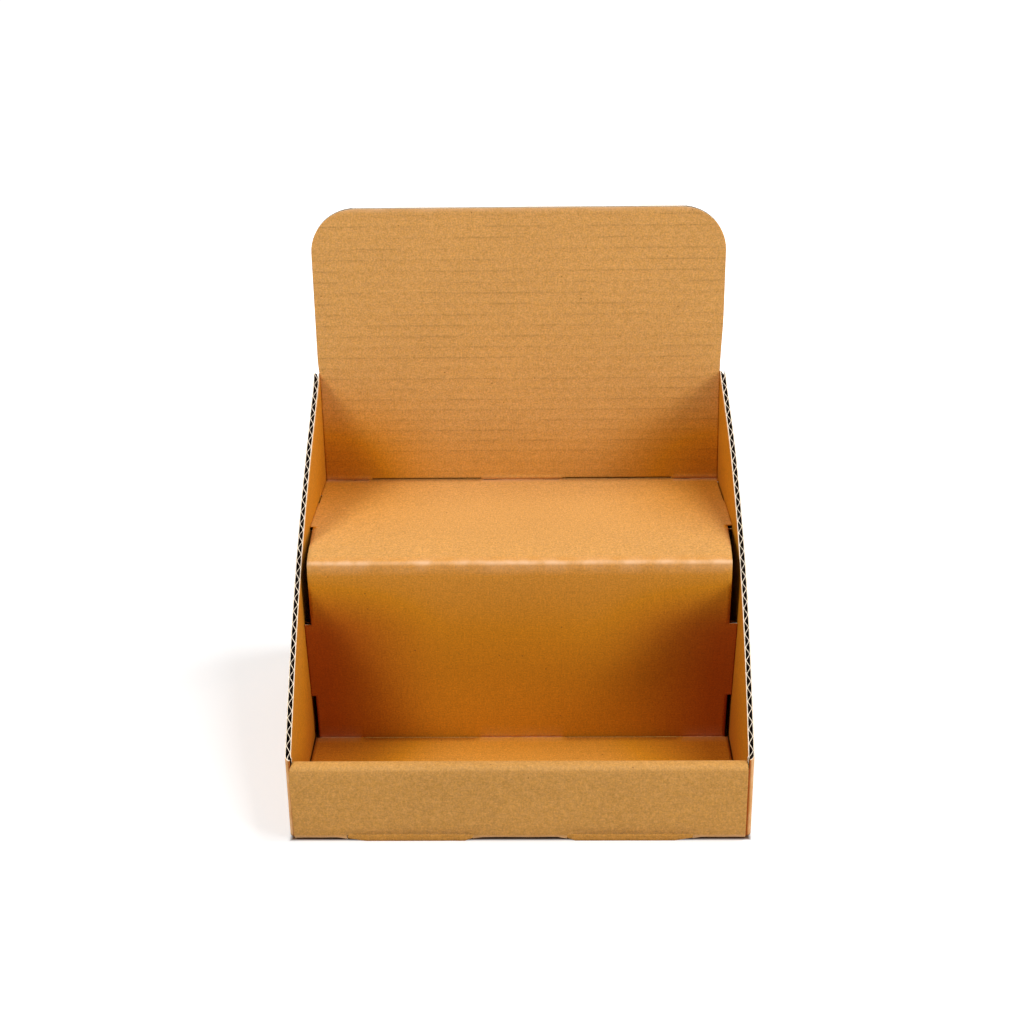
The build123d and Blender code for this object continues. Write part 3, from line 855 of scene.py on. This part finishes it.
def kraft_group():
    """Brown kraft paper: fine flecks, fibres, clouds, specks and the flutes' lines showing through.

    The lines lie a wave length apart along the board. Each is dark only over short dashes. The colour
    is multiplied by painted shade, and darkened a little along each wave as painted shade of the ripples.
    """
    group = new_group(
        "kraft_paper",
        [
            ("Position", "NodeSocketVector", None),
            ("Along", "NodeSocketFloat", 0.0),
            ("Paper", "NodeSocketColor", (0.6, 0.3, 0.08, 1.0)),
            ("Washboard", "NodeSocketFloat", 0.0),
            ("Painted Shade", "NodeSocketFloat", 0.0),
            ("Flecks", "NodeSocketFloat", 1.0),
        ],
        [("Color", "NodeSocketColor"), ("Height", "NodeSocketFloat"), ("Roughness", "NodeSocketFloat")],
    )
    start = group.nodes.new("NodeGroupInput")
    end = group.nodes.new("NodeGroupOutput")
    where = start.outputs["Position"]

    flecks = noise(group, where, 1150.0, 2.0, 0.6)
    blotches = noise(group, where, 620.0, 3.0, 0.6)
    clouds = noise(group, where, 16.0, 3.0)
    fibre_a = noise(group, stretched(group, where, (240.0, 1300.0, 1300.0)), 1.0, 1.0)
    fibre_b = noise(group, stretched(group, where, (1300.0, 240.0, 240.0)), 1.0, 1.0)
    fibres = math_node(group, "ADD", fibre_a, fibre_b)

    grain = math_node(group, "MULTIPLY", blend_value(group, flecks, 1.0, -0.5), start.outputs["Flecks"])
    shade = blend_value(group, grain, 0.90, 1.0)
    shade = math_node(group, "ADD", shade, blend_value(group, blotches, 0.18, -0.09))
    shade = math_node(group, "ADD", shade, blend_value(group, clouds, 0.16, -0.08))
    shade = math_node(group, "ADD", shade, blend_value(group, fibres, 0.22, -0.22))

    phase = blend_value(group, start.outputs["Along"], 2 * pi / FLUTE_PITCH, 0.0)
    wave = math_node(group, "SINE", phase)
    line = ramp(group, wave, 0.80, 1.0)
    dashes = noise(group, stretched(group, where, (45.0, 400.0, 400.0)), 1.0, 2.0)
    line = math_node(group, "MULTIPLY", line, ramp(group, dashes, 0.42, 0.62))
    line = math_node(group, "MULTIPLY", line, start.outputs["Washboard"])
    # The swell darkens the colour a little along each wave, as painted shade of the ripples, besides the
    # bump.
    swell = math_node(group, "MULTIPLY", wave, start.outputs["Washboard"])
    shade = math_node(group, "ADD", shade, blend_value(group, swell, -0.012, 0.0))
    shade = math_node(group, "ADD", shade, blend_value(group, line, -0.13, 0.0))

    warm = mix_colour(group, ramp(group, blotches, 0.35, 0.65), COOL_PATCH, WARM_PATCH)
    colour = mix_colour(group, 1.0, start.outputs["Paper"], warm, "MULTIPLY")
    # Painted shade: a depth from none through golden to deep, multiplied into the colour.
    painted_shades = group.nodes.new("ShaderNodeValToRGB")
    painted_shades.color_ramp.elements[0].color = PAINTED_SHADE_NONE
    painted_shades.color_ramp.elements[1].color = PAINTED_SHADE_DEEP
    painted_shades.color_ramp.elements.new(0.5).color = PAINTED_SHADE_GOLDEN
    group.links.new(start.outputs["Painted Shade"], painted_shades.inputs["Fac"])
    colour = mix_colour(group, 1.0, colour, painted_shades.outputs["Color"], "MULTIPLY")
    scaled = group.nodes.new("ShaderNodeVectorMath")
    scaled.operation = "SCALE"
    group.links.new(colour, scaled.inputs[0])
    group.links.new(shade, scaled.inputs["Scale"])

    speck_cells = group.nodes.new("ShaderNodeTexVoronoi")
    speck_cells.inputs["Scale"].default_value = 210.0
    group.links.new(where, speck_cells.inputs["Vector"])
    near = ramp(group, speck_cells.outputs["Distance"], 0.04, 0.13, 0.75, 0.0)
    picked = math_node(group, "GREATER_THAN", noise(group, where, 170.0, 0.0), 0.69)
    speck = math_node(group, "MULTIPLY", near, picked)
    speck = math_node(group, "MULTIPLY", speck, start.outputs["Flecks"])
    dark = mix_colour(group, speck, scaled.outputs[0], SPECK)
    group.links.new(dark, end.inputs["Color"])

    height = blend_value(group, flecks, 0.30, 0.0)
    height = math_node(group, "ADD", height, blend_value(group, fibres, 0.20, 0.0))
    height = math_node(group, "ADD", height, swell)
    group.links.new(height, end.inputs["Height"])
    group.links.new(blend_value(group, blotches, 0.14, 0.70), end.inputs["Roughness"])
    return group


def attribute(tree, label):
    """A number kept at each point of the mesh."""
    node = tree.nodes.new("ShaderNodeAttribute")
    node.attribute_name = label
    return node.outputs["Fac"]


def board_material(name, kraft, paper, kind):
    """One finish of the board: its liner face, its raw cut edge, or its flute inside in painted shade."""
    material = bpy.data.materials.new(name)
    material.use_nodes = True
    tree = material.node_tree
    shader = tree.nodes["Principled BSDF"]
    shader.inputs["Specular IOR Level"].default_value = 0.18
    position = tree.nodes.new("ShaderNodeTexCoord").outputs["Object"]
    flat = tree.nodes.new("ShaderNodeUVMap")
    flat.uv_map = "sheet"
    along = tree.nodes.new("ShaderNodeSeparateXYZ")
    tree.links.new(flat.outputs["UV"], along.inputs[0])
    liner = tree.nodes.new("ShaderNodeGroup")
    liner.node_tree = kraft
    liner.inputs["Paper"].default_value = paper
    liner.inputs["Flecks"].default_value = 1.0 if kind == "face" else 0.6
    tree.links.new(position, liner.inputs["Position"])
    tree.links.new(along.outputs["X"], liner.inputs["Along"])
    colour = liner.outputs["Color"]
    if kind == "edge":
        # Cut edges go deep only where the painted shade is near full: beside the roll and at notch ends.
        tree.links.new(ramp(tree, attribute(tree, "painted_shade"), 0.88, 0.98), liner.inputs["Painted Shade"])
    if kind == "face":
        # Faces take the painted shade and the washboard from the sheet's points.
        tree.links.new(attribute(tree, "painted_shade"), liner.inputs["Painted Shade"])
        tree.links.new(attribute(tree, "washboard"), liner.inputs["Washboard"])
        # Rubbed fibres, and painted highlight along the folds, in patches.
        patchy = ramp(tree, noise(tree, position, 90.0, 3.0), 0.35, 0.65, 0.45, 1.0)
        worn_and_highlit = math_node(tree, "MULTIPLY", attribute(tree, "wear_and_highlight"), patchy)
        colour = mix_colour(tree, worn_and_highlit, colour, WORN_AND_HIGHLIGHT)
    tree.links.new(colour, shader.inputs["Base Color"])
    tree.links.new(liner.outputs["Roughness"], shader.inputs["Roughness"])
    bump = tree.nodes.new("ShaderNodeBump")
    bump.inputs["Strength"].default_value = 0.4
    bump.inputs["Distance"].default_value = 0.00010
    tree.links.new(liner.outputs["Height"], bump.inputs["Height"])
    tree.links.new(bump.outputs["Normal"], shader.inputs["Normal"])
    return material


def build_sheets():
    """The two folded sheets that make the stand."""
    kraft = kraft_group()
    materials = [
        board_material("kraft_face", kraft, KRAFT, "face"),
        board_material("raw_edge", kraft, RAW_EDGE, "edge"),
        board_material("flute_inside_painted_shade", kraft, FLUTE_SHADE, "hollow"),
    ]
    # The insert's face is the tray's paper made lighter, as painted light.
    step_materials = [board_material("step_face_painted_lighter", kraft, STEP_KRAFT_PAINTED_LIGHTER, "face"), *materials[1:]]
    tray = Sheet()
    tray_strip(tray)
    side_wall(tray, 1)
    side_wall(tray, -1)
    tray.make("tray_sheet", "tray", materials)
    step = Sheet()
    step_strip(step)
    step.make("step_sheet", "step_insert", step_materials)


def make_camera():
    """Camera in front of the stand, looking down at it."""
    data = bpy.data.cameras.new("camera")
    data.lens = CAMERA_LENS
    data.sensor_width = 36.0
    camera = bpy.data.objects.new("camera", data)
    bpy.context.collection.objects.link(camera)
    forward = Vector((
        sin(CAMERA_YAW) * cos(CAMERA_PITCH),
        cos(CAMERA_YAW) * cos(CAMERA_PITCH),
        -sin(CAMERA_PITCH),
    ))
    level = Vector((cos(CAMERA_YAW), -sin(CAMERA_YAW), 0.0))
    upward = level.cross(forward)
    right = level * cos(CAMERA_ROLL) + upward * sin(CAMERA_ROLL)
    up = upward * cos(CAMERA_ROLL) - level * sin(CAMERA_ROLL)
    turn = Matrix((right, up, -forward)).transposed().to_4x4()
    place = Vector((CAMERA_SIDE, FRONT_Y - CAMERA_DISTANCE, CAMERA_HEIGHT))
    camera.matrix_world = Matrix.Translation(place) @ turn
    bpy.context.scene.camera = camera


def area_lamp(name, place, aim, size, power):
    """A square soft box at a place, aimed at a point."""
    data = bpy.data.lights.new(name, "AREA")
    data.size = size
    data.energy = power
    lamp = bpy.data.objects.new(name, data)
    bpy.context.collection.objects.link(lamp)
    lamp.location = place
    lamp.rotation_euler = (Vector(aim) - Vector(place)).to_track_quat("-Z", "Y").to_euler()


def camera_rays(tree):
    """1 for rays that reach the eye straight, by reflection or through glass."""
    path = tree.nodes.new("ShaderNodeLightPath")
    seen = math_node(tree, "MAXIMUM", path.outputs["Is Camera Ray"], path.outputs["Is Glossy Ray"])
    return math_node(tree, "MAXIMUM", seen, path.outputs["Is Transmission Ray"])


def contact_shadow_mask(tree, position):
    """1 where the floor is painted dark as contact shadow under the stand, fading to 0 past its outline."""
    part = tree.nodes.new("ShaderNodeSeparateXYZ")
    tree.links.new(position, part.inputs[0])
    beyond_x = blend_value(tree, math_node(tree, "ABSOLUTE", part.outputs["X"]), 1.0, -WIDTH / 2)
    across_y = blend_value(tree, part.outputs["Y"], 1.0, -(FRONT_Y + REAR_Y) / 2)
    beyond_y = blend_value(tree, math_node(tree, "ABSOLUTE", across_y), 1.0, -(REAR_Y - FRONT_Y) / 2)
    beyond = math_node(tree, "MAXIMUM", beyond_x, beyond_y)
    return ramp(tree, beyond, CONTACT_START, CONTACT_END, 1.0, 0.0)


def make_stage():
    """White studio: a floor that keeps the shadow, a white world and four soft boxes."""
    world = bpy.data.worlds.new("studio")
    bpy.context.scene.world = world
    world.use_nodes = True
    tree = world.node_tree
    background = tree.nodes["Background"]
    background.inputs["Color"].default_value = (1.0, 1.0, 1.0, 1.0)
    strength = tree.nodes.new("ShaderNodeMix")
    strength.data_type = "FLOAT"
    strength.inputs[2].default_value = WORLD_LIGHT
    strength.inputs[3].default_value = 1.0
    tree.links.new(camera_rays(tree), strength.inputs["Factor"])
    tree.links.new(strength.outputs[0], background.inputs["Strength"])

    mesh = bpy.data.meshes.new("floor")
    corners = [(FLOOR_REACH * x, FLOOR_REACH * y, 0) for x, y in ((-1, -1), (1, -1), (1, 1), (-1, 1))]
    mesh.from_pydata(corners, [], [(0, 1, 2, 3)])
    floor = bpy.data.objects.new("floor", mesh)
    bpy.context.collection.objects.link(floor)
    material = bpy.data.materials.new("white_floor")
    material.use_nodes = True
    tree = material.node_tree
    shader = tree.nodes["Principled BSDF"]
    shader.inputs["Roughness"].default_value = 0.9
    shader.inputs["Specular IOR Level"].default_value = 0.0
    shader.inputs["Emission Color"].default_value = (1.0, 1.0, 1.0, 1.0)
    position = tree.nodes.new("ShaderNodeTexCoord").outputs["Object"]
    # Painted shadow: the floor turns dark brown, with no glow, just under the stand's outline.
    contact_shadow = contact_shadow_mask(tree, position)
    tree.links.new(mix_colour(tree, contact_shadow, FLOOR_COLOUR, CONTACT_PAINTED_SHADOW), shader.inputs["Base Color"])
    away = tree.nodes.new("ShaderNodeVectorMath")
    away.operation = "LENGTH"
    tree.links.new(position, away.inputs[0])
    level = ramp(tree, away.outputs["Value"], GLOW_START, GLOW_END, GLOW_NEAR, GLOW_FAR)
    glow = math_node(tree, "MULTIPLY", camera_rays(tree), level)
    glow = math_node(tree, "MULTIPLY", glow, blend_value(tree, contact_shadow, -1.0, 1.0))
    tree.links.new(glow, shader.inputs["Emission Strength"])
    mesh.materials.append(material)

    for name, elevation, azimuth, power in LAMPS:
        out = LAMP_DISTANCE * cos(elevation)
        place = Vector((out * sin(azimuth), -out * cos(azimuth), LAMP_DISTANCE * sin(elevation)))
        area_lamp(name, place + LAMP_AIM, LAMP_AIM, LAMP_SIZE, power)


bpy.context.scene.view_settings.view_transform = "Standard"
make_camera()
make_stage()
build_sheets()
